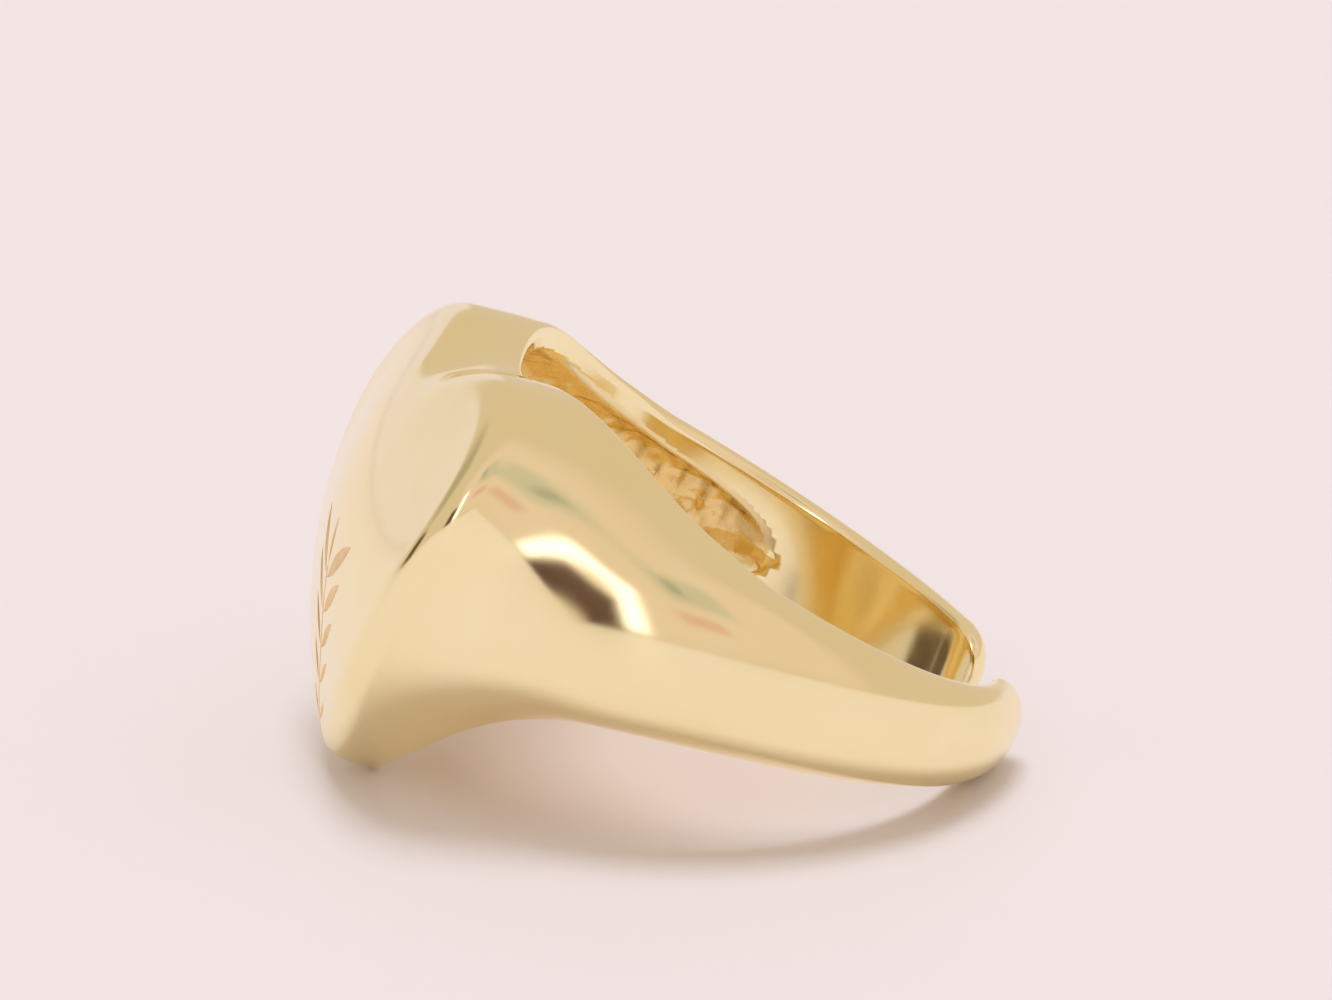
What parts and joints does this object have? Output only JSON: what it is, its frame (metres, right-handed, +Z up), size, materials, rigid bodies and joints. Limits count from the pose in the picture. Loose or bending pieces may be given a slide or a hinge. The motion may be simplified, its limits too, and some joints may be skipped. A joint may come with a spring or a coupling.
{
  "type": "signet ring",
  "caption": "Heart-shaped signet ring with a hollow-backed head and an open, adjustable shank, lying on its side.",
  "frame": {"origin": "centre of the ring's footprint on the surface it lies on", "axes": "+Z up from the surface, -Y out through the heart face, +X to the wearer's side; the ring leans back 20.55 degrees so that it rests on the point of the heart and the ends of its arms"},
  "size_m": [0.0214, 0.0218, 0.0137],
  "materials": {
    "face_gold": "mirror-polished plated face",
    "shell_gold": "mirror-polished plated outside, plain as-cast hollow",
    "arm_gold": "mirror-polished plated"
  },
  "bodies": {
    "head": {"signet_face": "face_gold", "head_shell": "shell_gold"},
    "left_arm": {"left_arm": "arm_gold"},
    "right_arm": {"right_arm": "arm_gold"}
  },
  "joints": [
    {"name": "left_arm_flex", "type": "hinge", "parent": "head", "child": "left_arm", "pos_m": [-0.0083, 0.00583, 0.00257], "axis": [0, 0.351, 0.9364], "range_deg": [-5, 9]},
    {"name": "right_arm_flex", "type": "hinge", "parent": "head", "child": "right_arm", "pos_m": [0.0083, 0.00583, 0.00257], "axis": [0, -0.351, -0.9364], "range_deg": [-5, 9]}
  ]
}
